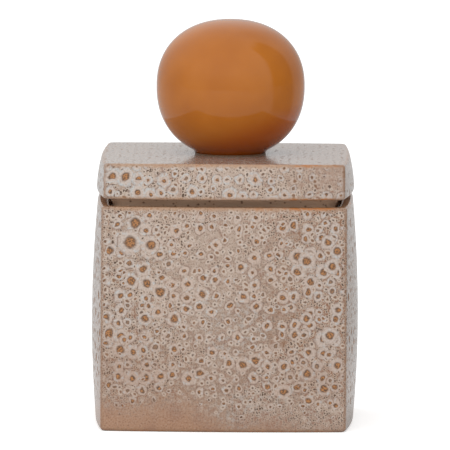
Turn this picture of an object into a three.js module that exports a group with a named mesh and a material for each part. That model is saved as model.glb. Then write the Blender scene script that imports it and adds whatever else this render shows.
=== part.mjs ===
// A square stoneware storage jar with a loose lid and a large glazed ball for its knob.
// Millimetres, +Z up. The jar stands on Z = 0 with its axis on Z, and its front faces -Y.
import * as THREE from "three";

// Body. A corner width is measured across the flats at the vertical edges, where the sides don't bow.
const BODY_CORNER_WIDTH = 119.2;
const BODY_HEIGHT = 109.6;
const BODY_CORNER_RADIUS = 2.2;
const BELLY_BOW = 5.4; // how far the middle of a side stands out at its fullest height
const BELLY_HEIGHT = 50;
const FOOT_BOW = 3.1;
const RIM_BOW = 2.6;
const FOOT_ROUNDING = 2;
const RIM_WALL = 4.2; // at the vertical edges
const RIM_ROUNDING = 1.1;
const BODY_WALL = 5.5;
const FLOOR_THICKNESS = 6.5;
const FLOOR_FILLET = 7;
const INNER_CORNER_RADIUS = 5;

// The mouth, and the ledge inside it that carries the lid.
const MOUTH_BOW = 1.4; // less than the rim's outside, so the rim is thicker in the middle of a side
const LEDGE_DEPTH = 6.8; // from the rim down to the seat
const LEDGE_WIDTH = 4.2;
const LEDGE_THICKNESS = 3;

// Lid: a slab with a hollow plug under it that stands on the ledge.
const LID_SETBACK = 1.05; // how far the slab's vertical edges stand back from the body's
const LID_THICKNESS = 17.4;
const LID_CORNER_RADIUS = 2;
const LID_LOWER_BOW = 4.3;
const LID_UPPER_BOW = 1.7;
const LID_EDGE_ROUNDING = 1.6;
const LID_PLATE = 7;
const SHADOW_GAP = 3.5; // between the rim and the slab
const SEAT_GAP = 0.3; // between the plug's foot and the ledge
const PLUG_CLEARANCE = 1.7; // between the plug and the wall of the mouth
const PLUG_WALL = 5;
const PLUG_CORNER_RADIUS = 6;
const PLUG_BEVEL_WIDTH = 1.7;
const PLUG_BEVEL_HEIGHT = 3;
const CAVITY_CORNER_RADIUS = 4;

// Knob: a hollow ball, a little squarer than a sphere, on a short round foot.
const BALL_DIAMETER = 72.4;
const BALL_UPPER_RISE = 32.6; // from the widest level to the crown
const BALL_LOWER_RISE = 34.8; // from the widest level to where the lower half would close
const BALL_FULLNESS = 2.22; // 2 is an ellipse, more is squarer
const BALL_WALL = 6;
const BALL_OFFSET = 2.2; // the ball sits this far towards +X from the middle of the lid
const BALL_FOOT_DIAMETER = 36;
const BALL_FOOT_HEIGHT = 1.3;
const VENT_DIAMETER = 12;
const BOND_THICKNESS = 0.6;
const BOND_MARGIN = 0.7; // how far the bond stays inside the edge of the foot

// Fineness of the curved faces.
const SIDE_STEPS = 8;
const CORNER_STEPS = 3;
const ARC_DIVISIONS = 2; // an arc of a profile gets twice as many steps
const LONGEST_STEP = 15;
const ROUND_STEPS = 36;
const OVAL_STEPS = 9;

// Levels and half widths that more than one piece is set out from.
const bodyHalf = BODY_CORNER_WIDTH / 2;
const mouthHalf = bodyHalf - RIM_WALL;
const ledgeLevel = BODY_HEIGHT - LEDGE_DEPTH;
const lidBottom = BODY_HEIGHT + SHADOW_GAP;
const lidTop = lidBottom + LID_THICKNESS;
const plugHalf = mouthHalf - PLUG_CLEARANCE;
const ballFoot = lidTop + BOND_THICKNESS;

// The bow of the body's sides at a height: fullest at the belly, less towards the foot and the rim.
function bodyBow(z) {
  const below = z < BELLY_HEIGHT;
  const endBow = below ? FOOT_BOW : RIM_BOW;
  const span = below ? BELLY_HEIGHT : BODY_HEIGHT - BELLY_HEIGHT;
  return BELLY_BOW - (BELLY_BOW - endBow) * ((z - BELLY_HEIGHT) / span) ** 2;
}

// The bow of the slab's sides at a height, fullest at its lower edge.
function lidBow(z) {
  const rise = (z - lidBottom) / LID_THICKNESS;
  return LID_LOWER_BOW - (LID_LOWER_BOW - LID_UPPER_BOW) * rise ** 2;
}

// The bow of the body's inside at a height: the mouth and ledge have their own, the walls follow the outside.
function insideBow(z) {
  return z < ledgeLevel - LEDGE_THICKNESS ? bodyBow(z) : MOUTH_BOW;
}

// The plug follows the bow of the mouth that it drops into.
function plugBow() {
  return MOUTH_BOW;
}

// The outline of a square with bowed sides and round corners, anticlockwise from above.
// Each side is an arc through the unrounded corners, and each corner an arc that meets two sides smoothly.
function bowedSquare(half, bow, cornerRadius) {
  const sideRadius = (half ** 2 + bow ** 2) / (2 * bow);
  const sideCentre = half + bow - sideRadius;
  const reach = sideRadius - cornerRadius;
  const cornerCentre = (sideCentre + Math.sqrt(2 * reach ** 2 - sideCentre ** 2)) / 2;
  const swing = Math.asin(cornerCentre / reach);
  const side = new THREE.ArcCurve(sideCentre, 0, sideRadius, -swing, swing);
  const corner = new THREE.ArcCurve(cornerCentre, cornerCentre, cornerRadius, swing, Math.PI / 2 - swing);
  const quarter = [...side.getPoints(SIDE_STEPS).slice(1), ...corner.getPoints(CORNER_STEPS).slice(1)];
  const middle = new THREE.Vector2();
  return [0, 1, 2, 3].flatMap((turn) =>
    quarter.map((point) => point.clone().rotateAround(middle, (turn * Math.PI) / 2)),
  );
}

// Splits the long stretches of a profile, so that the bow can change along them.
function divided(profile) {
  return profile.flatMap((point, i) => {
    if (i === 0) return [point];
    const start = profile[i - 1];
    const count = Math.ceil(start.distanceTo(point) / LONGEST_STEP);
    return Array.from({ length: count }, (_, k) => start.clone().lerp(point, (k + 1) / count));
  });
}

// One ring of points for each point of a profile, whose x is half a corner width and whose y is a height.
function rings(profile, bowAt, cornerRadius) {
  return divided(profile).map(({ x, y }) =>
    bowedSquare(x, bowAt(y), cornerRadius).map((point) => new THREE.Vector3(point.x, point.y, y)),
  );
}

// A closed skin over rings that run from the middle of a solid's underside to the middle of its top.
function loft(allRings) {
  const count = allRings[0].length;
  const lastStart = (allRings.length - 1) * count;
  const points = allRings.flat();
  const first = points.length;
  const last = first + 1;
  points.push(new THREE.Vector3(0, 0, allRings[0][0].z));
  points.push(new THREE.Vector3(0, 0, allRings.at(-1)[0].z));
  const index = [];
  for (let i = 0; i < count; i++) {
    const next = (i + 1) % count;
    index.push(first, next, i);
    for (let start = 0; start < lastStart; start += count) {
      const above = start + count;
      index.push(start + i, start + next, above + next);
      index.push(start + i, above + next, above + i);
    }
    index.push(last, lastStart + i, lastStart + next);
  }
  return new THREE.BufferGeometry().setFromPoints(points).setIndex(index);
}

// A turned solid on the Z axis, from a profile of (radius, height) points.
function turned(profile) {
  return new THREE.LatheGeometry(profile, ROUND_STEPS).rotateX(Math.PI / 2);
}

// Points of the ball's profile between two angles from its widest level, measured from that level.
function ovalArc(radius, rise, from, to) {
  return Array.from({ length: OVAL_STEPS + 1 }, (_, k) => {
    const angle = from + ((to - from) * k) / OVAL_STEPS;
    const across = radius * Math.max(Math.cos(angle), 0) ** (2 / BALL_FULLNESS);
    const up = rise * Math.abs(Math.sin(angle)) ** (2 / BALL_FULLNESS);
    return new THREE.Vector2(across, angle < 0 ? -up : up);
  });
}

// The angle at which the lower half of an oval of this radius has narrowed to a smaller radius.
function lowerAngle(radius, narrow) {
  return -Math.acos((narrow / radius) ** (BALL_FULLNESS / 2));
}

// The body is one cast piece: four bowed walls, a floor, and the ledge inside the mouth.
function bodyGeometry() {
  const rimRounding = Math.min(RIM_ROUNDING, RIM_WALL / 2);
  const innerHalf = bodyHalf - BODY_WALL;
  const ledgeHalf = mouthHalf - LEDGE_WIDTH;
  const ledgeUnder = ledgeLevel - LEDGE_THICKNESS;
  const roundingLevel = BODY_HEIGHT - rimRounding;
  const outside = new THREE.Path()
    .moveTo(bodyHalf - FOOT_ROUNDING, 0)
    .absarc(bodyHalf - FOOT_ROUNDING, FOOT_ROUNDING, FOOT_ROUNDING, -Math.PI / 2, 0)
    .lineTo(bodyHalf, roundingLevel)
    .absarc(bodyHalf - rimRounding, roundingLevel, rimRounding, 0, Math.PI / 2);
  const inside = new THREE.Path()
    .moveTo(mouthHalf + rimRounding, BODY_HEIGHT)
    .absarc(mouthHalf + rimRounding, roundingLevel, rimRounding, Math.PI / 2, Math.PI)
    .lineTo(mouthHalf, ledgeLevel)
    .lineTo(ledgeHalf, ledgeLevel)
    .lineTo(ledgeHalf, ledgeUnder)
    .lineTo(innerHalf, ledgeUnder - (innerHalf - ledgeHalf))
    .lineTo(innerHalf, FLOOR_THICKNESS + FLOOR_FILLET)
    .absarc(innerHalf - FLOOR_FILLET, FLOOR_THICKNESS + FLOOR_FILLET, FLOOR_FILLET, 0, -Math.PI / 2, true);
  return loft([
    ...rings(outside.getPoints(ARC_DIVISIONS), bodyBow, BODY_CORNER_RADIUS),
    ...rings(inside.getPoints(ARC_DIVISIONS), insideBow, INNER_CORNER_RADIUS),
  ]);
}

// The lid is one cast piece: the slab, and the hollow plug whose foot stands on the ledge.
function lidGeometry() {
  const half = bodyHalf - LID_SETBACK;
  const edge = LID_EDGE_ROUNDING;
  const plugFoot = ledgeLevel + SEAT_GAP;
  const cavityHalf = plugHalf - PLUG_WALL;
  const cavity = [new THREE.Vector2(cavityHalf, lidTop - LID_PLATE), new THREE.Vector2(cavityHalf, plugFoot)];
  const plug = [
    new THREE.Vector2(plugHalf, plugFoot),
    new THREE.Vector2(plugHalf, lidBottom - PLUG_BEVEL_HEIGHT),
    new THREE.Vector2(plugHalf + PLUG_BEVEL_WIDTH, lidBottom),
  ];
  const slab = new THREE.Path()
    .moveTo(half - edge, lidBottom)
    .absarc(half - edge, lidBottom + edge, edge, -Math.PI / 2, 0)
    .lineTo(half, (lidBottom + lidTop) / 2)
    .lineTo(half, lidTop - edge)
    .absarc(half - edge, lidTop - edge, edge, 0, Math.PI / 2);
  return loft([
    ...rings(cavity, plugBow, CAVITY_CORNER_RADIUS),
    ...rings(plug, plugBow, PLUG_CORNER_RADIUS),
    ...rings(slab.getPoints(ARC_DIVISIONS), lidBow, LID_CORNER_RADIUS),
  ]);
}

// The ball is a hollow casting, drained through the vent in its foot. Height 0 is the foot.
function ballGeometry() {
  const radius = BALL_DIAMETER / 2;
  const footRadius = BALL_FOOT_DIAMETER / 2;
  const ventRadius = VENT_DIAMETER / 2;
  const innerRadius = radius - BALL_WALL;
  const lower = ovalArc(radius, BALL_LOWER_RISE, lowerAngle(radius, footRadius), 0);
  const upper = ovalArc(radius, BALL_UPPER_RISE, 0, Math.PI / 2);
  const innerLower = ovalArc(innerRadius, BALL_LOWER_RISE - BALL_WALL, lowerAngle(innerRadius, ventRadius), 0);
  const innerUpper = ovalArc(innerRadius, BALL_UPPER_RISE - BALL_WALL, 0, Math.PI / 2);
  const widest = new THREE.Vector2(0, BALL_FOOT_HEIGHT - lower[0].y);
  const outer = [...lower, ...upper.slice(1)].map((point) => point.add(widest));
  const inner = [...innerLower, ...innerUpper.slice(1)].map((point) => point.add(widest));
  const foot = [new THREE.Vector2(ventRadius, 0), new THREE.Vector2(footRadius, 0)];
  return turned([...inner.reverse(), ...foot, ...outer]);
}

// The bond is a ring of adhesive between the ball's foot and the lid. Height 0 is the top of the lid.
function bondGeometry() {
  const outer = BALL_FOOT_DIAMETER / 2 - BOND_MARGIN;
  const inner = VENT_DIAMETER / 2 + BOND_MARGIN;
  return turned([
    new THREE.Vector2(inner, 0),
    new THREE.Vector2(outer, 0),
    new THREE.Vector2(outer, BOND_THICKNESS),
    new THREE.Vector2(inner, BOND_THICKNESS),
    new THREE.Vector2(inner, 0),
  ]);
}

function piece(name, geometry, colour, roughness) {
  const material = new THREE.MeshStandardMaterial({ color: colour, roughness, metalness: 0 });
  const mesh = new THREE.Mesh(geometry, material);
  mesh.name = name;
  return mesh;
}

const jarBody = piece("jar_body", bodyGeometry(), 0xb5a498, 0.3);
const lid = piece("lid", lidGeometry(), 0xb5a498, 0.3);
const knobBond = piece("knob_bond", bondGeometry(), 0x6b4c2f, 0.45);
knobBond.position.set(BALL_OFFSET, 0, lidTop);
const ballKnob = piece("ball_knob", ballGeometry(), 0xb8703a, 0.1);
ballKnob.position.set(BALL_OFFSET, 0, ballFoot);

const jar = new THREE.Group();
jar.add(jarBody, lid, knobBond, ballKnob);

export default jar;
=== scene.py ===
import math

import bmesh
import bpy
from mathutils import Matrix, Quaternion, Vector


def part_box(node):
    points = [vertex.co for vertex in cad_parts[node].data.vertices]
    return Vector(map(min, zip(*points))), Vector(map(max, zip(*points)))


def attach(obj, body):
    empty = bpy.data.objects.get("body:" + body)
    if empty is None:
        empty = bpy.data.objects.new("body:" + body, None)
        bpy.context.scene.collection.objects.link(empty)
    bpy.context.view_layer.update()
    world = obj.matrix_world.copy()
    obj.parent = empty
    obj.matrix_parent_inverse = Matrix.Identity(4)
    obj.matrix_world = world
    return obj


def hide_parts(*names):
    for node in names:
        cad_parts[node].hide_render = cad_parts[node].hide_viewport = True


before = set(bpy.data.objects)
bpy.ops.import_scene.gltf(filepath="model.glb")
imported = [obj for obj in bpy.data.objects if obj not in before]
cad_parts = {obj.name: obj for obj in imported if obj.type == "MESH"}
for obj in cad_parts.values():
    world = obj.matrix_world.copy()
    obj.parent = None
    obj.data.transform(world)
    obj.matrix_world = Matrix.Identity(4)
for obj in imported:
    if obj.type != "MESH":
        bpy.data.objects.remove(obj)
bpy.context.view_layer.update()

# Jar body
# One stoneware casting with four bowed walls, a flat base and a ledge inside the mouth for the lid.
# It is dipped in a beige reactive glaze, with a smooth liner poured inside and a bare base; the flat of
# the rim is painted shade.
MM = 0.001
body_low, body_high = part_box("jar_body")
body_height = body_high.z
belly_bow = 5.4 * MM
belly_level = 50 * MM
foot_bow = 3.1 * MM
rim_bow = 2.6 * MM
body_half = body_high.x - belly_bow
body_corner = 2.2 * MM
foot_rounding = 2 * MM
rim_wall = 4.2 * MM
rim_rounding = 1.1 * MM
mouth_half = body_half - rim_wall
mouth_bow = 1.4 * MM
inner_corner = 5 * MM
ledge_depth = 6.8 * MM
ledge_width = 4.2 * MM
ledge_thickness = 3 * MM
body_wall = 5.5 * MM
ledge_level = body_height - ledge_depth
ledge_under = ledge_level - ledge_thickness
ledge_half = mouth_half - ledge_width
inner_half = body_half - body_wall
floor_level = 6.5 * MM
floor_fillet = 7 * MM

SIDE_STATIONS = 48
CORNER_STATIONS = 8
ARC_STEPS = 6
LEVEL_FACE = 0.8  # a face lies level if its normal points up or down by more than this
QUARTER_TURN = math.pi / 2


def outline(half, bow, corner):
    """A square with bowed sides and round corners, anticlockwise, as one point for each station."""
    side_radius = (half**2 + bow**2) / (2 * bow)
    side_centre = half + bow - side_radius
    reach = side_radius - corner
    corner_centre = (side_centre + math.sqrt(2 * reach**2 - side_centre**2)) / 2
    swing = math.asin(corner_centre / reach)
    points = []
    for turn in range(4):
        quarter = Matrix.Rotation(turn * QUARTER_TURN, 2)
        for step in range(SIDE_STATIONS):
            angle = swing * (2 * step / SIDE_STATIONS - 1)
            arm = Vector((math.cos(angle), math.sin(angle)))
            points.append(quarter @ (Vector((side_centre, 0)) + side_radius * arm))
        for step in range(CORNER_STATIONS):
            angle = swing + (QUARTER_TURN - 2 * swing) * step / CORNER_STATIONS
            arm = Vector((math.cos(angle), math.sin(angle)))
            points.append(quarter @ (Vector((corner_centre, corner_centre)) + corner * arm))
    return points


def arc(half, level, radius, start, end, steps=ARC_STEPS):
    """Profile points (half width, height) round an arc, angles in degrees."""
    angles = [math.radians(start + (end - start) * k / steps) for k in range(steps + 1)]
    return [(half + radius * math.cos(a), level + radius * math.sin(a)) for a in angles]


def stretch(start, end, steps):
    """Profile points along a straight stretch, without its first point."""
    return [tuple(a + (b - a) * k / steps for a, b in zip(start, end)) for k in range(1, steps + 1)]


def body_bow(level):
    """How far the middle of a wall stands out at a height."""
    end_bow, end_level = (foot_bow, 0) if level < belly_level else (rim_bow, body_height)
    return belly_bow - (belly_bow - end_bow) * ((level - belly_level) / (end_level - belly_level)) ** 2


def inside_bow(level):
    """The same on the inside, where the mouth and the ledge are straighter than the walls."""
    return body_bow(level) if level < ledge_under else mouth_bow


def lofted(name, rows, edge_rows, wall_rows, corner_dullness, material_rows):
    """A closed piece drawn out ring by ring: each row is (half width, bow, corner radius, height).

    Its UV map is in metres: round and up the walls, or flat across the faces that lie level.
    The attribute edge_mm is the distance to the nearest sharp edge, where a glaze runs thin. Each edge
    adds its own dullness, so that the glaze breaks less on some edges than on others. The edge rows are
    the edges that run round the piece, and the wall rows are those that its four upright edges cross.
    The material rows give the last row of each material.
    """
    bm = bmesh.new()
    station = bm.verts.layers.int.new("station")
    row_of = bm.verts.layers.int.new("row")
    edge_mm = bm.verts.layers.float.new("edge_mm")
    glaze_uv = bm.loops.layers.uv.new("glaze")
    stations = 4 * (SIDE_STATIONS + CORNER_STATIONS)

    widest = max(rows, key=lambda row: row[0] + row[1])
    reference = outline(*widest[:3])
    around = [0.0]
    for here, following in zip(reference, reference[1:] + reference[:1]):
        around.append(around[-1] + (following - here).length)
    corners = [
        around[turn * stations // 4 + SIDE_STATIONS + CORNER_STATIONS // 2] for turn in range(4)
    ]
    to_corner = []
    for here in around:
        ways = [abs(here - corner) for corner in corners]
        to_corner.append(min(min(way, around[-1] - way) for way in ways))
    along = [0.0]
    for here, following in zip(rows, rows[1:]):
        along.append(along[-1] + math.hypot(following[0] - here[0], following[3] - here[3]))

    verts = bmesh.ops.create_circle(bm, segments=stations, radius=1)["verts"]
    for index, vert in enumerate(verts):
        vert[station] = index
    loop = list(bm.edges)
    first_loop = loop
    for index, (half, bow, corner, level) in enumerate(rows):
        if index:
            drawn = bmesh.ops.extrude_edge_only(bm, edges=loop)["geom"]
            verts = [part for part in drawn if isinstance(part, bmesh.types.BMVert)]
            loop = [part for part in drawn if isinstance(part, bmesh.types.BMEdge)]
        ring = outline(half, bow, corner)
        to_edge = min(abs(along[index] - along[row]) + dullness for row, dullness in edge_rows.items())
        for vert in verts:
            vert.co = (*ring[vert[station]], level)
            vert[row_of] = index
            near_corner = to_corner[vert[station]] + corner_dullness if index in wall_rows else to_edge
            vert[edge_mm] = min(to_edge, near_corner) / MM
    loop = [edge for edge in loop if edge.is_boundary]
    bmesh.ops.edgeloop_fill(bm, edges=first_loop)
    bmesh.ops.edgeloop_fill(bm, edges=loop)
    bmesh.ops.recalc_face_normals(bm, faces=bm.faces)

    for face in bm.faces:
        row = min(vert[row_of] for vert in face.verts)
        face.smooth = len(face.verts) == 4
        face.material_index = next(index for index, last in enumerate(material_rows) if row <= last)
        wraps = any(vert[station] > stations // 2 for vert in face.verts)
        for corner_loop in face.loops:
            vert = corner_loop.vert
            if abs(face.normal.z) > LEVEL_FACE:
                corner_loop[glaze_uv].uv = vert.co.xy
            else:
                turn = around[-1] if wraps and vert[station] == 0 else around[vert[station]]
                corner_loop[glaze_uv].uv = (turn, along[vert[row_of]])
    mesh = bpy.data.meshes.new(name)
    bm.to_mesh(mesh)
    bm.free()
    piece = bpy.data.objects.new(name, mesh)
    bpy.context.scene.collection.objects.link(piece)
    return piece


def linear(hex_colour):
    """A colour written as sRGB hex, as linear RGBA."""
    channels = [int(hex_colour[i : i + 2], 16) / 255 for i in (1, 3, 5)]
    return (*[c / 12.92 if c <= 0.04045 else ((c + 0.055) / 1.055) ** 2.4 for c in channels], 1.0)


def node(tree, kind, feeds, out=0, **settings):
    """Adds a node with its settings, links or fills its sockets, and gives one of its outputs.

    Sockets go by name or number. A Map Range reads between 1 and 2 and gives between 3 and 4. A Mix has
    its share in 0, and mixes the numbers in 2 and 3 or the colours in 6 and 7.
    """
    made = tree.nodes.new("ShaderNode" + kind)
    for setting, value in settings.items():
        setattr(made, setting, value)
    for socket, value in feeds.items():
        if isinstance(value, bpy.types.NodeSocket):
            tree.links.new(value, made.inputs[socket])
        else:
            made.inputs[socket].default_value = value
    return made.outputs[out] if made.outputs else None


def new_material(name):
    """A material with an empty node tree."""
    material = bpy.data.materials.new(name)
    material.use_nodes = True
    material.node_tree.nodes.clear()
    return material, material.node_tree


# Settings that many nodes share.
SOFT = {"interpolation_type": "SMOOTHSTEP"}
LAYER = {"data_type": "RGBA", "out": 2}
TIMES = {"operation": "MULTIPLY"}
LESS = {"operation": "SUBTRACT", "use_clamp": True}


def scattered(tree, place, spacing, randomness):
    """Spots scattered over a surface, one to a cell, in mm.

    Gives the way from the nearest spot's middle, the room that the spot has before it meets its
    neighbour, and two chances between 0 and 1 that belong to that spot.
    """
    cells = {"Vector": place, "Scale": 1 / spacing, "Randomness": randomness}
    way = node(tree, "TexVoronoi", cells, voronoi_dimensions="2D")
    room = node(
        tree, "TexVoronoi", cells, out="Radius", voronoi_dimensions="2D", feature="N_SPHERE_RADIUS"
    )
    chance = node(tree, "SeparateColor", {0: way.node.outputs["Color"]})
    way = node(tree, "Math", {0: way, 1: spacing}, **TIMES)
    room = node(tree, "Math", {0: room, 1: spacing}, **TIMES)
    return way, room, chance, chance.node.outputs["Green"]


def wandering(tree, place, spacing, strength):
    """A place shifted to and fro, so that what is drawn there comes out uneven: sizes in mm."""
    shift = node(tree, "TexNoise", {"Vector": place, "Scale": 1 / spacing, "Detail": 1.0}, out="Color")
    shift = node(tree, "VectorMath", {0: shift, 1: (0.5, 0.5, 0.5)}, operation="SUBTRACT")
    shift = node(tree, "VectorMath", {0: shift, "Scale": strength}, operation="SCALE")
    return node(tree, "VectorMath", {0: place, 1: shift}, operation="ADD")


# Reactive stoneware glaze, dipped and fired glossy. Gas broke through it in the kiln, so eyes with brown
# hearts and pale rings lie all over it, with pits and pinholes between them. It runs thin and brown on
# edges, and thin and tan low down. Sizes are in mm, and a range goes from its 1 to its 2.
CLOUD_WIDTH = 34
PATCH_WIDTH = 11
RUDDY_WIDTH = 4.5
MOTTLE_WIDTH = 2.2
GRAIN_WIDTH = 0.9
EYE_SPACING = 6.6
LARGE_EYE_SPACING = 11.0
PIT_SPACING = 3.6
PIT_RADIUS = 0.75
LID_PIT_RADIUS = 0.9
PINHOLE_SPACING = 1.25
PINHOLE_RADIUS = 0.54
LEAST_REACH = 0.05  # so that no way is divided by zero
rim_mm = body_height / MM
lid_top_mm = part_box("lid")[1].z / MM
glaze, tree = new_material("reactive_stoneware_glaze")
uv = node(tree, "UVMap", {}, uv_map="glaze")
flat_mm = node(tree, "VectorMath", {0: uv, "Scale": 1 / MM}, operation="SCALE")
object_place = node(tree, "TexCoord", {}, out="Object")
object_mm = node(tree, "VectorMath", {0: object_place, "Scale": 1 / MM}, operation="SCALE")
place = wandering(tree, flat_mm, spacing=4.5, strength=2.4)
place = wandering(tree, place, spacing=1.4, strength=0.8)
clouds = node(tree, "TexNoise", {"Vector": object_mm, "Scale": 1 / CLOUD_WIDTH, "Detail": 1.0})
patches = node(tree, "TexNoise", {"Vector": object_mm, "Scale": 1 / PATCH_WIDTH, "Detail": 1.5})
mottle = node(tree, "TexNoise", {"Vector": flat_mm, "Scale": 1 / MOTTLE_WIDTH, "Detail": 3.0})
grain = node(tree, "TexNoise", {"Vector": flat_mm, "Scale": 1 / GRAIN_WIDTH, "Detail": 2.0})

# Low down the glaze is thin, smooth and tan, with hardly an eye in it. The thick coat above reaches
# lower on the right, because the jar was dipped at a slant.
DIP_SLANT = 0.17
EYE_SLANT = 0.03
RAGGEDNESS = 5.0
THIN_TO_THICK = {1: -4.0, 2: 20.0}
EYELESS_TO_EYED = {1: -1.0, 2: 27.0}
across = node(tree, "SeparateXYZ", {0: object_mm})
height = across.node.outputs["Z"]
slant = node(tree, "Math", {0: across, 1: DIP_SLANT, 2: height}, operation="MULTIPLY_ADD")
ragged = node(tree, "MapRange", {0: clouds, 1: 0.3, 2: 0.7, 3: -RAGGEDNESS, 4: RAGGEDNESS})
ragged = node(tree, "Math", {0: slant, 1: ragged}, operation="ADD")
thick = node(tree, "MapRange", {0: ragged, **THIN_TO_THICK}, **SOFT)
kept = node(tree, "Math", {0: across, 1: EYE_SLANT - DIP_SLANT, 2: ragged}, operation="MULTIPLY_ADD")
kept = node(tree, "MapRange", {0: kept, **EYELESS_TO_EYED}, **SOFT)

# Towards the corners the glaze lies thicker, with larger eyes and more pinholes. On the lid the eyes are
# of one size along the sides, but small high up at the right, and on top most have healed over. On the
# body they keep clear of the edges.
MIDDLE_TO_CORNER = {1: 15.0, 2: 45.0}
LID_EYES_AS_AT = 36.0  # a way towards the corner where the body's eyes are as large as the lid's
RIM_TO_LID = {1: rim_mm - 1.6, 2: rim_mm + 4.4}
LID_UPWARD = {1: rim_mm + 1.4, 2: rim_mm + 13.4}
LID_RIGHTWARD = {1: 12.0, 2: 52.0}
LID_TOP = {1: lid_top_mm - 2, 2: lid_top_mm - 0.5}
CLEAR_OF_EDGE = {1: 1.5, 2: 5.0}
aside = node(tree, "Math", {0: across}, operation="ABSOLUTE")
deep = node(tree, "Math", {0: across.node.outputs["Y"]}, operation="ABSOLUTE")
cornerwise = node(tree, "Math", {0: aside, 1: deep}, operation="MINIMUM")
on_lid = node(tree, "MapRange", {0: height, **RIM_TO_LID})
growth = node(tree, "Mix", {0: on_lid, 2: cornerwise, 3: LID_EYES_AS_AT}, data_type="FLOAT")
growth = node(tree, "MapRange", {0: growth, **MIDDLE_TO_CORNER, 3: 0.88, 4: 1.2}, **SOFT)
growth = node(tree, "Math", {0: growth, 1: kept}, **TIMES)
lid_right = node(tree, "MapRange", {0: across, **LID_RIGHTWARD, 4: on_lid})
lid_bare = node(tree, "MapRange", {0: height, **LID_UPWARD, 4: lid_right}, **SOFT)
lid_growth = node(tree, "Math", {0: lid_bare, 1: -0.55, 2: 1.0}, operation="MULTIPLY_ADD")
growth = node(tree, "Math", {0: growth, 1: lid_growth}, **TIMES)
healed = node(tree, "MapRange", {0: height, **LID_TOP, 4: 0.6}, **SOFT)
unhealed = node(tree, "Math", {0: 1.0, 1: healed}, operation="SUBTRACT")
growth = node(tree, "Math", {0: growth, 1: unhealed}, **TIMES)
edge = node(tree, "Attribute", {}, out="Fac", attribute_name="edge_mm")
edge_clear = node(tree, "MapRange", {0: edge, **CLEAR_OF_EDGE, 3: 0.4}, **SOFT)
edge_clear = node(tree, "Math", {0: edge_clear, 1: on_lid}, operation="MAXIMUM")
growth = node(tree, "Math", {0: growth, 1: edge_clear}, **TIMES)

# The coat is pale at the top and in the middle of a wall, browner low down, to the right and towards the
# corners, and paler again at the foot. It has rosy and ruddy patches, milky ones where it is thick, and a
# grain of dark sand and pale chalk.
BROWN_TO_PALE = {1: -25.0, 2: 105.0}
PALE_FOOT = {1: 34.0, 2: 10.0}
coat = node(tree, "Math", {0: cornerwise, 1: -1.6, 2: height}, operation="MULTIPLY_ADD")
coat = node(tree, "Math", {0: across, 1: -0.6, 2: coat}, operation="MULTIPLY_ADD")
coat = node(tree, "MapRange", {0: coat, **BROWN_TO_PALE}, **SOFT)
foot_pale = node(tree, "Math", {0: across, 1: 0.005, 2: 0.42}, operation="MULTIPLY_ADD")
coat_foot = node(tree, "MapRange", {0: height, **PALE_FOOT, 4: foot_pale}, **SOFT)
coat = node(tree, "Math", {0: coat, 1: coat_foot}, operation="MAXIMUM")
base = node(tree, "Mix", {0: coat, 6: linear("#8A6952"), 7: linear("#B09B8C")}, **LAYER)
base = node(tree, "Mix", {0: thick, 6: linear("#A98369"), 7: base}, **LAYER)
rosy = node(tree, "Math", {0: across, 1: 0.0014, 2: patches}, operation="MULTIPLY_ADD")
rosy = node(tree, "MapRange", {0: rosy, 1: 0.46, 2: 0.66, 4: 0.5}, **SOFT)
base = node(tree, "Mix", {0: rosy, 6: base, 7: linear("#946F5C")}, **LAYER)
ruddy = node(tree, "TexNoise", {"Vector": object_mm, "Scale": 1 / RUDDY_WIDTH, "Detail": 1.0})
ruddy = node(tree, "Math", {0: cornerwise, 1: 0.003, 2: ruddy}, operation="MULTIPLY_ADD")
ruddy = node(tree, "Math", {0: across, 1: 0.001, 2: ruddy}, operation="MULTIPLY_ADD")
ruddy = node(tree, "MapRange", {0: ruddy, 1: 0.56, 2: 0.76, 4: 0.7}, **SOFT)
ruddy = node(tree, "Math", {0: ruddy, 1: thick}, **TIMES)
base = node(tree, "Mix", {0: ruddy, 6: base, 7: linear("#86604D")}, **LAYER)
lid_tan = node(tree, "Math", {0: lid_bare, 1: 0.7}, **TIMES)
base = node(tree, "Mix", {0: lid_tan, 6: base, 7: linear("#A98E7D")}, **LAYER)
milky = node(tree, "MapRange", {0: mottle, 1: 0.44, 2: 0.64, 4: 0.65}, **SOFT)
milky = node(tree, "Math", {0: milky, 1: thick}, **TIMES)
cool = node(tree, "MapRange", {0: clouds, 1: 0.44, 2: 0.6}, **SOFT)
milk_tint = node(tree, "Mix", {0: cool, 6: linear("#BCA99C"), 7: linear("#B6B1AC")}, **LAYER)
base = node(tree, "Mix", {0: milky, 6: base, 7: milk_tint}, **LAYER)
sandy = node(tree, "MapRange", {0: grain, 1: 0.46, 2: 0.3, 4: 0.7}, **SOFT)
base = node(tree, "Mix", {0: sandy, 6: base, 7: linear("#7A5D4B")}, **LAYER)
chalky = node(tree, "MapRange", {0: grain, 1: 0.54, 2: 0.68}, **SOFT)
chalk_kept = node(tree, "MapRange", {0: thick, 3: 0.2, 4: 0.4})
chalky = node(tree, "Math", {0: chalky, 1: chalk_kept}, **TIMES)
base = node(tree, "Mix", {0: chalky, 6: base, 7: linear("#C4B3A5")}, **LAYER)

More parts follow.
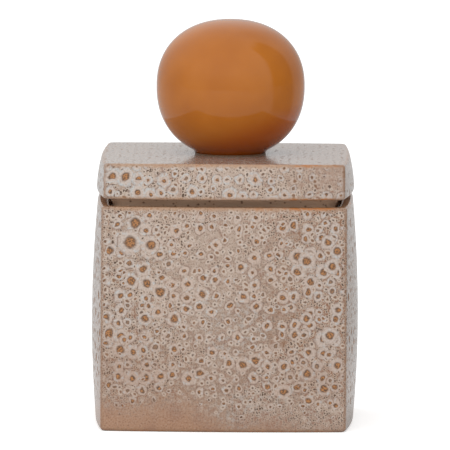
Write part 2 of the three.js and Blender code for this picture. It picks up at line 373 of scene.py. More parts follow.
# At the body's corners the clay tinges the ground between the eyes, most of all on the right.
ABOVE_FOOT = {1: 8.0, 2: 30.0}
LEFT_TO_RIGHT = {1: -55.0, 2: 45.0}
above_foot = node(tree, "MapRange", {0: height, **ABOVE_FOOT}, **SOFT)
tinge = node(tree, "MapRange", {0: cornerwise, **MIDDLE_TO_CORNER, 4: 0.34}, **SOFT)
tinge_right = node(tree, "MapRange", {0: across, **LEFT_TO_RIGHT, 3: -0.14, 4: 0.2})
tinge = node(tree, "Math", {0: tinge, 1: tinge_right}, operation="ADD")
tinge = node(tree, "Math", {0: tinge, 1: on_lid}, **LESS)
tinge = node(tree, "Math", {0: tinge, 1: above_foot}, **TIMES)
base = node(tree, "Mix", {0: tinge, 6: base, 7: linear("#8C6448")}, **LAYER)

# The eyes are packed closely, each with its ring as far as the room to its neighbour lets it grow.
from_eye, eye_room, eye_chance, heart_chance = scattered(tree, place, EYE_SPACING, 0.62)
ring_reach = node(tree, "Math", {0: eye_chance, 1: 1.3}, operation="POWER")
ring_reach = node(tree, "MapRange", {0: ring_reach, 3: 0.7, 4: 1.4})
ring_reach = node(tree, "Math", {0: ring_reach, 1: eye_room}, **TIMES)
ring_reach = node(tree, "Math", {0: ring_reach, 1: growth}, **TIMES)
ring_reach = node(tree, "Math", {0: ring_reach, 1: LEAST_REACH}, operation="MAXIMUM")
ring_place = node(tree, "Math", {0: from_eye, 1: ring_reach}, operation="DIVIDE")
heart_share = node(tree, "MapRange", {0: heart_chance, 3: 0.36, 4: 0.53})
heart_share = node(tree, "Math", {0: on_lid, 1: -0.1, 2: heart_share}, operation="MULTIPLY_ADD")
heart_place = node(tree, "Math", {0: ring_place, 1: heart_share}, operation="DIVIDE")
heart_radius = node(tree, "Math", {0: ring_reach, 1: heart_share}, **TIMES)

# Near the body's corners there are much larger eyes too, which swallow the others.
LARGE_TO_CORNER = {1: 15.0, 2: 40.0}
LARGE_SWALLOWS = 1.1
LARGE_HEART = 0.45
SMALLEST_EYE = {1: 0.4, 2: 0.9}
from_large, large_room, large_chance, _ = scattered(tree, place, LARGE_EYE_SPACING, 0.75)
large_reach = node(tree, "MapRange", {0: large_chance, 1: 0.2, 2: 1.0, 4: 1.02})
large_reach = node(tree, "Math", {0: large_reach, 1: large_room}, **TIMES)
large_growth = node(tree, "MapRange", {0: cornerwise, **LARGE_TO_CORNER}, **SOFT)
large_growth = node(tree, "Math", {0: large_growth, 1: on_lid}, **LESS)
large_growth = node(tree, "Math", {0: large_growth, 1: growth}, **TIMES)
large_reach = node(tree, "Math", {0: large_reach, 1: large_growth}, **TIMES)
large_reach = node(tree, "Math", {0: large_reach, 1: LEAST_REACH}, operation="MAXIMUM")
large_place = node(tree, "Math", {0: from_large, 1: large_reach}, operation="DIVIDE")
in_large = node(tree, "Math", {0: large_place, 1: LARGE_SWALLOWS}, operation="LESS_THAN")
ring_place = node(tree, "Mix", {0: in_large, 2: ring_place, 3: large_place}, data_type="FLOAT")
large_heart = node(tree, "Math", {0: large_place, 1: LARGE_HEART}, operation="DIVIDE")
heart_place = node(tree, "Mix", {0: in_large, 2: heart_place, 3: large_heart}, data_type="FLOAT")
ring_reach = node(tree, "Mix", {0: in_large, 2: ring_reach, 3: large_reach}, data_type="FLOAT")
has_eye = node(tree, "MapRange", {0: ring_reach, **SMALLEST_EYE}, **SOFT)
between = node(tree, "MapRange", {0: ring_place, 1: 0.85, 2: 1.05}, **SOFT)

# Pinholes crowd together in patches between the eyes, each with a pale wall, and most of all on the
# lid's sides.
PINHOLE_WALL = {1: 0.5, 2: 0.2}
PINHOLE_HEART = {1: 0.12, 2: -0.1}
from_pin, _, pin_chance, _ = scattered(tree, place, PINHOLE_SPACING, 0.9)
pin_radius = node(tree, "Math", {0: pin_chance, 1: PINHOLE_RADIUS}, **TIMES)
pin = node(tree, "Math", {0: from_pin, 1: pin_radius}, operation="SUBTRACT")
crowded = node(tree, "Math", {0: cornerwise, 1: 0.008, 2: patches}, operation="MULTIPLY_ADD")
crowded = node(tree, "Math", {0: on_lid, 1: 0.25, 2: crowded}, operation="MULTIPLY_ADD")
crowded = node(tree, "MapRange", {0: crowded, 1: 0.52, 2: 0.84, 3: 0.4, 4: 1.0}, **SOFT)
uncrowded = node(tree, "Math", {0: lid_bare, 1: 0.65}, **TIMES)
crowded = node(tree, "Math", {0: crowded, 1: uncrowded}, **LESS)
crowded = node(tree, "Math", {0: crowded, 1: unhealed}, **TIMES)
crowded = node(tree, "Math", {0: crowded, 1: between}, **TIMES)
crowded = node(tree, "Math", {0: crowded, 1: thick}, **TIMES)
pin_wall = node(tree, "MapRange", {0: pin, **PINHOLE_WALL, 4: 0.7}, **SOFT)
pin_wall = node(tree, "Math", {0: pin_wall, 1: crowded}, **TIMES)
pin_heart = node(tree, "MapRange", {0: pin, **PINHOLE_HEART, 4: 0.95}, **SOFT)
pin_heart = node(tree, "Math", {0: pin_heart, 1: crowded}, **TIMES)
colour = node(tree, "Mix", {0: pin_wall, 6: base, 7: linear("#C9B6A5")}, **LAYER)
colour = node(tree, "Mix", {0: pin_heart, 6: colour, 7: linear("#4E3727")}, **LAYER)

# Round an eye: a thin broken outline, and a pale ring that is pinkish inside and bluish outside.
WHITE_TO_CORNER = {1: 25.0, 2: 50.0}
WHITE_UPWARD = {1: 20.0, 2: 60.0}
outline_in = node(tree, "MapRange", {0: ring_place, 1: 0.92, 2: 1.04}, **SOFT)
outline_out = node(tree, "MapRange", {0: ring_place, 1: 1.28, 2: 1.08}, **SOFT)
broken = node(tree, "MapRange", {0: mottle, 1: 0.6, 2: 0.44, 3: 0.1, 4: 0.85}, **SOFT)
eye_outline = node(tree, "Math", {0: outline_in, 1: outline_out}, **TIMES)
eye_outline = node(tree, "Math", {0: eye_outline, 1: broken}, **TIMES)
eye_outline = node(tree, "Math", {0: eye_outline, 1: has_eye}, **TIMES)
colour = node(tree, "Mix", {0: eye_outline, 6: colour, 7: linear("#75594A")}, **LAYER)
bluish = node(tree, "MapRange", {0: ring_place, 1: 0.55, 2: 0.8}, **SOFT)
bluish_patch = node(tree, "Math", {0: on_lid, 1: 0.14, 2: mottle}, operation="MULTIPLY_ADD")
bluish_patch = node(tree, "MapRange", {0: bluish_patch, 1: 0.5, 2: 0.66, 4: 0.7}, **SOFT)
bluish = node(tree, "Math", {0: bluish, 1: bluish_patch}, **TIMES)
ring_white = node(tree, "MapRange", {0: cornerwise, **WHITE_TO_CORNER, 4: 0.55}, **SOFT)
ring_high = node(tree, "MapRange", {0: ragged, **WHITE_UPWARD}, **SOFT)
ring_white = node(tree, "Math", {0: ring_white, 1: ring_high}, **TIMES)
ring_tint = node(tree, "Mix", {0: ring_white, 6: linear("#C8B4A6"), 7: linear("#CCC3BC")}, **LAYER)
ring_tint = node(tree, "Mix", {0: bluish, 6: ring_tint, 7: linear("#BDC8CC")}, **LAYER)
ring_shade = node(tree, "MapRange", {0: grain, 1: 0.54, 2: 0.34, 4: 0.5}, **SOFT)
ring_tint = node(tree, "Mix", {0: ring_shade, 6: ring_tint, 7: linear("#A59082")}, **LAYER)
eye_ring = node(tree, "MapRange", {0: ring_place, 1: 1.25, 2: 0.75, 4: 0.8}, **SOFT)
eye_ring = node(tree, "Math", {0: eye_ring, 1: has_eye}, **TIMES)
ring_kept = node(tree, "MapRange", {0: thick, 1: 0.1, 2: 0.8, 3: 0.2, 4: 1.0}, **SOFT)
ring_bare = node(tree, "Math", {0: lid_bare, 1: -0.6, 2: 1.0}, operation="MULTIPLY_ADD")
ring_kept = node(tree, "Math", {0: ring_kept, 1: ring_bare}, **TIMES)
eye_ring = node(tree, "Math", {0: eye_ring, 1: ring_kept}, **TIMES)
colour = node(tree, "Mix", {0: eye_ring, 6: colour, 7: ring_tint}, **LAYER)

# Pits lie between the eyes: small, dark and ringed, and a little larger on the lid.
SMALLEST_PIT = {1: 0.08, 2: 0.25}
PIT_RING = {1: 1.2, 2: 0.4}
PIT_HEART = {1: 0.28, 2: -0.25}
from_pit, _, pit_chance, _ = scattered(tree, place, PIT_SPACING, 0.85)
pit_largest = node(tree, "Mix", {0: on_lid, 2: PIT_RADIUS, 3: LID_PIT_RADIUS}, data_type="FLOAT")
pit_radius = node(tree, "MapRange", {0: pit_chance, 1: 0.2, 2: 1.0, 4: pit_largest})
pit_radius = node(tree, "Math", {0: pit_radius, 1: kept}, **TIMES)
pit_radius = node(tree, "Math", {0: pit_radius, 1: between}, **TIMES)
pit = node(tree, "Math", {0: from_pit, 1: pit_radius}, operation="SUBTRACT")
has_pit = node(tree, "MapRange", {0: pit_radius, **SMALLEST_PIT}, **SOFT)
pit_ring = node(tree, "MapRange", {0: pit, **PIT_RING, 4: 0.7}, **SOFT)
pit_ring = node(tree, "Math", {0: pit_ring, 1: has_pit}, **TIMES)
pit_ring = node(tree, "Math", {0: pit_ring, 1: ring_kept}, **TIMES)
pit_heart = node(tree, "MapRange", {0: pit, **PIT_HEART, 4: 0.9}, **SOFT)
pit_heart = node(tree, "Math", {0: pit_heart, 1: has_pit}, **TIMES)
colour = node(tree, "Mix", {0: pit_ring, 6: colour, 7: linear("#CBBAAC")}, **LAYER)
rusty = node(tree, "MapRange", {0: pit_chance, 1: 0.7, 2: 1.0}, **SOFT)
pit_tint = node(tree, "Mix", {0: rusty, 6: linear("#4F3A2D"), 7: linear("#80593A")}, **LAYER)
colour = node(tree, "Mix", {0: pit_heart, 6: colour, 7: pit_tint}, **LAYER)

# Low down at the corners the clay shows through it all as a tan veil.
VEIL_DOWNWARD = {1: 54.0, 2: 22.0}
VEIL_TO_CORNER = {1: 10.0, 2: 45.0}
veil = node(tree, "MapRange", {0: ragged, **VEIL_DOWNWARD, 4: 0.3}, **SOFT)
veil_corner = node(tree, "MapRange", {0: cornerwise, **VEIL_TO_CORNER, 3: 0.2}, **SOFT)
veil = node(tree, "Math", {0: veil, 1: veil_corner}, **TIMES)
veil = node(tree, "Math", {0: veil, 1: above_foot}, **TIMES)
colour = node(tree, "Mix", {0: veil, 6: colour, 7: linear("#96715A")}, **LAYER)

# The eyes' hearts lie over it all: flecked with orange where they are open, greyed in the smallest eyes,
# and dark round the lip.
OPEN_HEART = {1: 0.35, 2: 1.0}
eye_heart = node(tree, "MapRange", {0: heart_place, 1: 1.35, 2: 0.75, 4: 0.95}, **SOFT)
eye_heart = node(tree, "Math", {0: eye_heart, 1: has_eye}, **TIMES)
flecked = node(tree, "MapRange", {0: grain, 1: 0.34, 2: 0.6}, **SOFT)
open_heart = node(tree, "MapRange", {0: heart_radius, **OPEN_HEART, 3: 0.2}, **SOFT)
open_heart = node(tree, "Math", {0: open_heart, 1: in_large}, operation="MAXIMUM")
flecked = node(tree, "Math", {0: flecked, 1: open_heart}, **TIMES)
heart = node(tree, "Mix", {0: flecked, 6: linear("#563B25"), 7: linear("#B07640")}, **LAYER)
greyed = node(tree, "MapRange", {0: eye_chance, 1: 0.3, 2: 0.1, 4: 0.6}, **SOFT)
greyed = node(tree, "Math", {0: greyed, 1: in_large}, **LESS)
heart = node(tree, "Mix", {0: greyed, 6: heart, 7: linear("#85705F")}, **LAYER)
lip = node(tree, "MapRange", {0: heart_place, 1: 0.5, 2: 0.95}, **SOFT)
lip_broken = node(tree, "MapRange", {0: mottle, 1: 0.35, 2: 0.62, 3: 1.0, 4: 0.55}, **SOFT)
lip = node(tree, "Math", {0: lip, 1: lip_broken}, **TIMES)
heart = node(tree, "Mix", {0: lip, 6: heart, 7: linear("#4C3422")}, **LAYER)
colour = node(tree, "Mix", {0: eye_heart, 6: colour, 7: heart}, **LAYER)

# Along every edge the glaze thins to a tan band over the clay, and on the edge itself it breaks to a
# brown line with gaps in it. The upright edges are duller than those that run round.
EDGE_UNEVENNESS = 0.7
EDGE_BAND = {1: 2.4, 2: 0.6}
EDGE_LINE = {1: 1.4, 2: 0.2}
UPRIGHT_EDGE = {1: 50.0, 2: 57.0}
uneven = node(tree, "MapRange", {0: mottle, 1: 0.3, 2: 0.7, 3: EDGE_UNEVENNESS, 4: -EDGE_UNEVENNESS})
edge = node(tree, "Math", {0: edge, 1: uneven}, operation="ADD")
edge_band = node(tree, "MapRange", {0: edge, **EDGE_BAND, 4: 0.65}, **SOFT)
upright = node(tree, "MapRange", {0: cornerwise, **UPRIGHT_EDGE}, **SOFT)
band_tint = node(tree, "Mix", {0: upright, 6: linear("#AE8767"), 7: linear("#98765F")}, **LAYER)
colour = node(tree, "Mix", {0: edge_band, 6: colour, 7: band_tint}, **LAYER)
edge_break = node(tree, "MapRange", {0: edge, **EDGE_LINE, 4: 0.9}, **SOFT)
edge_gaps = node(tree, "Math", {0: across, 1: 0.0036, 2: patches}, operation="MULTIPLY_ADD")
edge_gaps = node(tree, "Math", {0: thick, 1: -0.3, 2: edge_gaps}, operation="MULTIPLY_ADD")
edge_gaps = node(tree, "Math", {0: height, 1: -0.0012, 2: edge_gaps}, operation="MULTIPLY_ADD")
edge_gaps = node(tree, "MapRange", {0: edge_gaps, 1: 0.17, 2: 0.33, 3: 0.08, 4: 1.0}, **SOFT)
edge_break = node(tree, "Math", {0: edge_break, 1: edge_gaps}, **TIMES)
break_tint = node(tree, "Mix", {0: upright, 6: linear("#AC6A32"), 7: linear("#9A7253")}, **LAYER)
colour = node(tree, "Mix", {0: edge_break, 6: colour, 7: break_tint}, **LAYER)

# The eyes, pits and pinholes are sunk, and rougher inside, and the rings stand up a little.
relief = node(tree, "Math", {0: eye_heart, 1: -0.3}, **TIMES)
relief = node(tree, "Math", {0: eye_ring, 1: 0.08, 2: relief}, operation="MULTIPLY_ADD")
relief = node(tree, "Math", {0: pit_heart, 1: -0.15, 2: relief}, operation="MULTIPLY_ADD")
relief = node(tree, "Math", {0: pin_heart, 1: -0.03, 2: relief}, operation="MULTIPLY_ADD")
relief = node(tree, "Math", {0: relief, 1: unhealed}, **TIMES)
glaze_bump = node(tree, "Bump", {"Height": relief, "Strength": 0.3, "Distance": MM})
roughness = node(tree, "MapRange", {0: grain, 1: 0.3, 2: 0.7, 3: 0.08, 4: 0.16}, **SOFT)
hollow = node(tree, "Math", {0: eye_heart, 1: pit_heart}, operation="MAXIMUM")
roughness = node(tree, "Mix", {0: hollow, 2: roughness, 3: 0.5}, data_type="FLOAT")
glaze_look = {"Base Color": colour, "Roughness": roughness, "IOR": 1.5, "Normal": glaze_bump}
node(tree, "OutputMaterial", {"Surface": node(tree, "BsdfPrincipled", glaze_look)})

# Bare stoneware on the base, wiped clean of glaze before firing: matt, sandy and buff.
bare_clay, tree = new_material("bare_stoneware")
object_place = node(tree, "TexCoord", {}, out="Object")
sand = node(tree, "TexNoise", {"Vector": object_place, "Scale": 1 / (0.8 * MM), "Detail": 3.0})
clay_colour = node(tree, "Mix", {0: sand, 6: linear("#A48A72"), 7: linear("#BFA68D")}, **LAYER)
clay_bump = node(tree, "Bump", {"Height": sand, "Strength": 0.4, "Distance": 0.2 * MM})
clay_look = {"Base Color": clay_colour, "Roughness": 0.85, "Normal": clay_bump}
node(tree, "OutputMaterial", {"Surface": node(tree, "BsdfPrincipled", clay_look)})

# Liner glaze poured into the jar: the same beige, fired smooth, with only fine iron specks.
liner, tree = new_material("smooth_liner_glaze")
object_place = node(tree, "TexCoord", {}, out="Object")
drift = node(tree, "TexNoise", {"Vector": object_place, "Scale": 1 / (18 * MM), "Detail": 2.0})
speck = node(tree, "TexVoronoi", {"Vector": object_place, "Scale": 1 / (2.6 * MM)})
speck = node(tree, "MapRange", {0: speck, 1: 0.3, 2: 0.15, 4: 0.8}, **SOFT)
liner_colour = node(tree, "Mix", {0: drift, 6: linear("#B2927A"), 7: linear("#C4A992")}, **LAYER)
liner_colour = node(tree, "Mix", {0: speck, 6: liner_colour, 7: linear("#6B5343")}, **LAYER)
liner_look = {"Base Color": liner_colour, "Roughness": 0.18, "IOR": 1.5}
node(tree, "OutputMaterial", {"Surface": node(tree, "BsdfPrincipled", liner_look)})

# Painted shade: the flat of the rim lies in shade under the lid, so it is painted a matt, mottled brown.
painted_shade_rim, tree = new_material("rim_painted_shade_brown")
object_place = node(tree, "TexCoord", {}, out="Object")
rim_mottle = node(tree, "TexNoise", {"Vector": object_place, "Scale": 1 / (1.8 * MM), "Detail": 3.0})
rim_mottle = node(tree, "MapRange", {0: rim_mottle, 1: 0.35, 2: 0.65}, **SOFT)
painted_shade_rim_colour = node(tree, "Mix", {0: rim_mottle, 6: linear("#7A5236"), 7: linear("#A5774F")}, **LAYER)
painted_shade_rim_look = {"Base Color": painted_shade_rim_colour, "Roughness": 0.6, "IOR": 1.5}
node(tree, "OutputMaterial", {"Surface": node(tree, "BsdfPrincipled", painted_shade_rim_look)})

rim_level = body_height - rim_rounding
outside = arc(body_half - foot_rounding, foot_rounding, foot_rounding, -90, 0)
outside += stretch(outside[-1], (body_half, rim_level), steps=56)
outside += arc(body_half - rim_rounding, rim_level, rim_rounding, 0, 90)[1:]
inside = arc(mouth_half + rim_rounding, rim_level, rim_rounding, 90, 180)
inside += stretch(inside[-1], (mouth_half, ledge_level), steps=4)
inside += stretch(inside[-1], (ledge_half, ledge_level), steps=3)
inside += stretch(inside[-1], (ledge_half, ledge_under), steps=2)
inside += stretch(inside[-1], (inner_half, ledge_under - (inner_half - ledge_half)), steps=3)
inside += stretch(inside[-1], (inner_half, floor_level + floor_fillet), steps=24)
inside += arc(inner_half - floor_fillet, floor_level + floor_fillet, floor_fillet, 0, -90)[1:]
rows = [(half, body_bow(level), body_corner, level) for half, level in outside]
rows += [(half, inside_bow(level), inner_corner, level) for half, level in inside]
foot_row = ARC_STEPS // 2
rim_row = len(outside) - 1 - ARC_STEPS // 2
jar_body = lofted(
    "jar_body_glazed",
    rows,
    edge_rows={foot_row: 0.9 * MM, rim_row: 0.1 * MM},
    wall_rows=range(rim_row + 1),
    corner_dullness=0.9 * MM,
    material_rows=[0, len(outside) - 2, len(outside) - 1, len(rows)],
)
# The third material, on the flat of the rim, is painted shade.
for material in (bare_clay, glaze, painted_shade_rim, liner):
    jar_body.data.materials.append(material)
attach(jar_body, "jar")
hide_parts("jar_body")

# Lid
# One stoneware casting in the same glaze: a thick slab with bowed edges, and a hollow plug under it.
# The plug stands on the ledge in the mouth, so a dark gap shows all round between the slab and the rim.
lid_low, lid_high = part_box("lid")
lid_top = lid_high.z
lid_thickness = 17.4 * MM
lid_bottom = lid_top - lid_thickness
plug_foot = lid_low.z
lid_lower_bow = 4.3 * MM
lid_upper_bow = 1.7 * MM
lid_setback = 1.05 * MM
lid_half = body_half - lid_setback
lid_corner = 2 * MM
lid_edge = 1.6 * MM
plug_clearance = 1.7 * MM
plug_half = mouth_half - plug_clearance
plug_corner = 6 * MM
plug_bevel = (1.7 * MM, 3 * MM)
plug_rounding = 0.8 * MM
plug_wall = 5 * MM
cavity_half = plug_half - plug_wall
cavity_corner = 4 * MM
plate_thickness = 7 * MM
plate_under = lid_top - plate_thickness
LID_SIDE_STEPS = 12
last_ring_half = 20 * MM  # the top is drawn in to here, and one flat face fills the rest


def lid_bow(level):
    """How far the middle of the slab's side stands out at a height."""
    rise = (level - lid_bottom) / lid_thickness
    return lid_lower_bow - (lid_lower_bow - lid_upper_bow) * rise**2


cavity = [(cavity_half, plate_under)]
rounding_level = plug_foot + plug_rounding
cavity += stretch(cavity[0], (cavity_half, rounding_level), steps=6)
cavity += arc(cavity_half + plug_rounding, rounding_level, plug_rounding, 180, 270, steps=3)[1:]
plug = arc(plug_half - plug_rounding, rounding_level, plug_rounding, -90, 0, steps=3)
plug += stretch(plug[-1], (plug_half, lid_bottom - plug_bevel[1]), steps=4)
plug += stretch(plug[-1], (plug_half + plug_bevel[0], lid_bottom), steps=3)
slab = arc(lid_half - lid_edge, lid_bottom + lid_edge, lid_edge, -90, 0)
slab += stretch(slab[-1], (lid_half, lid_top - lid_edge), LID_SIDE_STEPS)
slab += arc(lid_half - lid_edge, lid_top - lid_edge, lid_edge, 0, 90)[1:]
slab += stretch(slab[-1], (last_ring_half, lid_top), steps=20)
rows = [(half, mouth_bow, cavity_corner, level) for half, level in cavity]
rows += [(half, mouth_bow, plug_corner, level) for half, level in plug]
slab_row = len(rows)
rows += [(half, lid_bow(level), lid_corner, level) for half, level in slab]
lower_row = slab_row + ARC_STEPS // 2
upper_row = lower_row + LID_SIDE_STEPS + ARC_STEPS
lid = lofted(
    "lid_glazed",
    rows,
    edge_rows={lower_row: 0.5 * MM, upper_row: 0.4 * MM},
    wall_rows=range(lower_row, upper_row + 1),
    corner_dullness=0.7 * MM,
    material_rows=[slab_row, len(rows)],
)
for material in (liner, glaze):
    lid.data.materials.append(material)
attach(lid, "lid")
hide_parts("lid")

# Ball knob
# A hollow stoneware ball, a little squarer than a sphere, on a short round foot, cast and fired by
# itself. It has a smooth, glossy caramel glaze and is stuck to the middle of the lid.
ball_low, ball_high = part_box("ball_knob")
ball_middle = (ball_low.x + ball_high.x) / 2
ball_radius = (ball_high.x - ball_low.x) / 2
ball_foot_radius = 18 * MM
ball_foot_draft = 0.8 * MM
ball_fullness = 2.22
ball_upper_rise = 32.6 * MM
ball_lower_rise = 34.8 * MM
ball_widest = ball_high.z - ball_upper_rise
BALL_STEPS = 40
BALL_TURNS = 128


def ball_profile():
    """Points (radius, height) up the ball, from the rim of its foot to just under its crown."""
    lowest = -math.acos((ball_foot_radius / ball_radius) ** (ball_fullness / 2))
    points = [(ball_foot_radius - ball_foot_draft, ball_low.z)]
    for step in range(BALL_STEPS):
        angle = lowest + (math.pi / 2 - lowest) * step / BALL_STEPS
        rise = ball_upper_rise if angle > 0 else ball_lower_rise
        up = math.copysign(abs(math.sin(angle)) ** (2 / ball_fullness), angle)
        points.append((ball_radius * math.cos(angle) ** (2 / ball_fullness), ball_widest + rise * up))
    return points


bm = bmesh.new()
profile = [(0, ball_low.z), *ball_profile(), (0, ball_high.z)]
chain = [bm.verts.new((ball_middle + radius, 0, level)) for radius, level in profile]
edges = [bm.edges.new(pair) for pair in zip(chain, chain[1:])]
bmesh.ops.spin(
    bm,
    geom=chain + edges,
    cent=(ball_middle, 0, 0),
    axis=(0, 0, 1),
    angle=2 * math.pi,
    steps=BALL_TURNS,
    use_merge=True,
)
bmesh.ops.remove_doubles(bm, verts=bm.verts, dist=0.01 * MM)
bmesh.ops.recalc_face_normals(bm, faces=bm.faces)
for face in bm.faces:
    face.smooth = True
mesh = bpy.data.meshes.new("ball_knob_glazed")
bm.to_mesh(mesh)
bm.free()
ball = bpy.data.objects.new("ball_knob_glazed", mesh)
bpy.context.scene.collection.objects.link(ball)

# Caramel iron glaze, fired glossy: an even warm brown with faint clouds where it lies thicker. Low down
# and to the right it is painted darker, as painted shade.
SHADE_SLANT = -0.4
SHADE_DOWNWARD = {1: ball_low.z + 15.9 * MM, 2: ball_low.z + 1.9 * MM}
caramel, tree = new_material("caramel_glaze")
object_place = node(tree, "TexCoord", {}, out="Object")
clouds = node(tree, "TexNoise", {"Vector": object_place, "Scale": 1 / (25 * MM), "Detail": 2.0})
skin = node(tree, "TexNoise", {"Vector": object_place, "Scale": 1 / (2.5 * MM), "Detail": 2.0})
clouds = node(tree, "MapRange", {0: clouds, 1: 0.3, 2: 0.7}, **SOFT)
caramel_colour = node(tree, "Mix", {0: clouds, 6: linear("#AC6114"), 7: linear("#B66A1A")}, **LAYER)
across = node(tree, "SeparateXYZ", {0: object_place})
height = across.node.outputs["Z"]
# Painted shade: the colour darkens low down and to the right, where the ball is shaded.
low = node(tree, "Math", {0: across, 1: SHADE_SLANT, 2: height}, operation="MULTIPLY_ADD")
painted_ball_shade = node(tree, "MapRange", {0: low, **SHADE_DOWNWARD}, **SOFT)
caramel_colour = node(tree, "Mix", {0: painted_ball_shade, 6: caramel_colour, 7: linear("#A65008")}, **LAYER)
skin_bump = node(tree, "Bump", {"Height": skin, "Strength": 0.05, "Distance": 0.2 * MM})
caramel_look = {"Base Color": caramel_colour, "Roughness": 0.08, "IOR": 1.5, "Normal": skin_bump}
node(tree, "OutputMaterial", {"Surface": node(tree, "BsdfPrincipled", caramel_look)})
ball.data.materials.append(caramel)
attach(ball, "lid")
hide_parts("ball_knob")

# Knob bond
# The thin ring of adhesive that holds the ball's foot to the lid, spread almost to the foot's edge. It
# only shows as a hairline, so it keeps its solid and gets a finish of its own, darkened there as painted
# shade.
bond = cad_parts["knob_bond"]

# Cured epoxy adhesive, a little cloudy, with a dull sheen: partly its own brown and partly painted shade
# under the ball.
adhesive_and_shade, tree = new_material("epoxy_adhesive_and_painted_shade")
object_place = node(tree, "TexCoord", {}, out="Object")
cure = node(tree, "TexNoise", {"Vector": object_place, "Scale": 1 / (1.5 * MM), "Detail": 2.0})
# Painted shade: the adhesive is coloured dark brown for the shade where the ball's foot meets the lid.
adhesive_shade_colour = node(tree, "Mix", {0: cure, 6: linear("#5E4127"), 7: linear("#7A5836")}, **LAYER)
adhesive_shade_look = {"Base Color": adhesive_shade_colour, "Roughness": 0.45}
node(tree, "OutputMaterial", {"Surface": node(tree, "BsdfPrincipled", adhesive_shade_look)})
bond.data.materials.clear()
bond.data.materials.append(adhesive_and_shade)

# Floor, light and camera
# A plain white studio: a broad floor, a white surround with a bright front and a dark panel on the
# right, both of which the glazes mirror, and one soft lamp in front.

# Where the panel and the dim side begin and end, as turns from the front.
PANEL_START = {1: math.radians(66), 2: math.radians(74)}
PANEL_STOP = {1: math.radians(110), 2: math.radians(120)}
DIM_STOP = {1: math.radians(178), 2: math.radians(150)}


def dim_side(tree, way):
    """How much of the dim, right-hand side of the studio lies along a way from the jar.

    A dark panel stands to the right, and behind it the studio is less dim.
    """
    rightward = node(tree, "SeparateXYZ", {0: way})
    frontward = node(tree, "Math", {0: rightward.node.outputs["Y"], 1: -1.0}, **TIMES)
    turn = node(tree, "Math", {0: rightward, 1: frontward}, operation="ARCTAN2")
    panel = node(tree, "MapRange", {0: turn, **PANEL_START}, **SOFT)
    panel_end = node(tree, "MapRange", {0: turn, **PANEL_STOP, 3: 1.0, 4: 0.3}, **SOFT)
    dim_end = node(tree, "MapRange", {0: turn, **DIM_STOP}, **SOFT)
    panel = node(tree, "Math", {0: panel, 1: panel_end}, **TIMES)
    return node(tree, "Math", {0: panel, 1: dim_end}, **TIMES)


floor_mesh = bpy.data.meshes.new("floor")
bm = bmesh.new()
bmesh.ops.create_circle(bm, cap_ends=True, segments=64, radius=14)
bm.to_mesh(floor_mesh)
bm.free()
floor = bpy.data.objects.new("floor", floor_mesh)
bpy.context.scene.collection.objects.link(floor)

# Matt white floor, which glows a little for the camera and is dim where the glazes mirror it from afar.
floor_white, tree = new_material("white_floor")
seen = node(tree, "LightPath", {}, out="Is Camera Ray")
mirrored = seen.node.outputs["Is Glossy Ray"]
matt = node(tree, "BsdfDiffuse", {"Color": linear("#E6E6E6")})
glow = node(tree, "Math", {0: seen, 1: 0.5}, **TIMES)
glow = node(tree, "Emission", {"Strength": glow})
floor_place = node(tree, "TexCoord", {}, out="Object")
apart = node(tree, "VectorMath", {0: floor_place}, out="Value", operation="LENGTH")
apart = node(tree, "MapRange", {0: apart, 1: 0.15, 2: 0.45}, **SOFT)
behind = node(tree, "SeparateXYZ", {0: floor_place}, out="Y")
behind = node(tree, "MapRange", {0: behind, 1: -0.3, 2: 0.1, 4: 0.12}, **SOFT)
dim_floor = dim_side(tree, floor_place)
dim_floor = node(tree, "Math", {0: dim_floor, 1: 0.5, 2: behind}, operation="MULTIPLY_ADD")
dim_floor = node(tree, "Math", {0: dim_floor, 1: apart}, **TIMES)
dim_floor = node(tree, "Math", {0: dim_floor, 1: mirrored}, **TIMES)
open_floor = node(tree, "AddShader", {0: matt, 1: glow})
dimmed = node(tree, "BsdfDiffuse", {"Color": linear("#000000")})
floor_look = node(tree, "MixShader", {0: dim_floor, 1: open_floor, 2: dimmed})
node(tree, "OutputMaterial", {"Surface": floor_look})
floor_mesh.materials.append(floor_white)

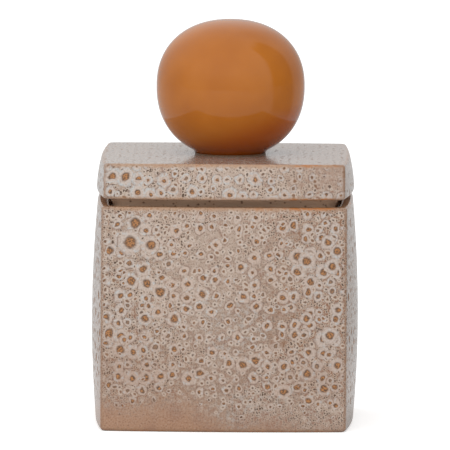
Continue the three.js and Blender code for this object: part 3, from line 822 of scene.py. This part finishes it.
# The surround is plain white to the camera. The jar is lit by more of it from above and in front.
world = bpy.data.worlds.new("studio")
bpy.context.scene.world = world
world.use_nodes = True
tree = world.node_tree
tree.nodes.clear()
direction = node(tree, "TexCoord", {}, out="Generated")
upward = node(tree, "SeparateXYZ", {0: direction}, out="Z")
below_top = node(tree, "MapRange", {0: upward, 1: 0.95, 2: 0.85}, **SOFT)
dim = node(tree, "Math", {0: dim_side(tree, direction), 1: below_top}, **TIMES)
dim = node(tree, "MapRange", {0: dim, 3: 1.0, 4: 0.35})
surround = node(tree, "MapRange", {0: upward, 1: -0.05, 2: 0.7, 3: 0.765, 4: 1.2}, **SOFT)
front = node(tree, "MapRange", {0: upward.node.outputs["Y"], 1: -0.25, 2: -0.45}, **SOFT)
front_glow = node(tree, "MapRange", {0: upward, 1: 0.0, 2: 0.5, 3: 0.95, 4: 1.25}, **SOFT)
surround = node(tree, "Mix", {0: front, 2: surround, 3: front_glow}, data_type="FLOAT")
surround = node(tree, "Math", {0: surround, 1: dim}, **TIMES)
seen = node(tree, "LightPath", {}, out="Is Camera Ray")
strength = node(tree, "Mix", {0: seen, 2: surround, 3: 1.0}, data_type="FLOAT")
node(tree, "OutputWorld", {"Surface": node(tree, "Background", {"Strength": strength})})

lamp_data = bpy.data.lights.new("key_softbox", "AREA")
lamp_data.shape = "SQUARE"
lamp_data.size = 2.0
lamp_data.energy = 19
lamp = bpy.data.objects.new("key_softbox", lamp_data)
lamp.location = (-0.4, -2.1, 1.7)
lamp.rotation_euler = (Vector((0, 0, 0.1)) - lamp.location).to_track_quat("-Z", "Y").to_euler()
lamp.visible_camera = False
lamp.visible_glossy = False
bpy.context.scene.collection.objects.link(lamp)

# The photograph is taken with a very long lens, from a little above and straight in front.
PHOTO_PIXELS = 450
BODY_PIXELS = 266
pixel = (body_high.x - body_low.x) / BODY_PIXELS
camera_data = bpy.data.cameras.new("camera")
camera_data.lens = 1500
camera_data.clip_end = 100
camera = bpy.data.objects.new("camera", camera_data)
camera_elevation = math.radians(5.4)
camera_azimuth = math.radians(0.6)
camera_roll = math.radians(0.3)
camera_distance = PHOTO_PIXELS * pixel * camera_data.lens / camera_data.sensor_width
target = Vector((-0.2 * MM, 0, 95.35 * MM))
arm = Vector((
    math.sin(camera_azimuth) * math.cos(camera_elevation),
    -math.cos(camera_azimuth) * math.cos(camera_elevation),
    math.sin(camera_elevation),
))
camera.location = target + camera_distance * arm
level = (-arm).to_track_quat("-Z", "Y")
camera.rotation_euler = (level @ Quaternion((0, 0, 1), camera_roll)).to_euler()
bpy.context.scene.collection.objects.link(camera)
bpy.context.scene.camera = camera
bpy.context.scene.view_settings.view_transform = "Standard"
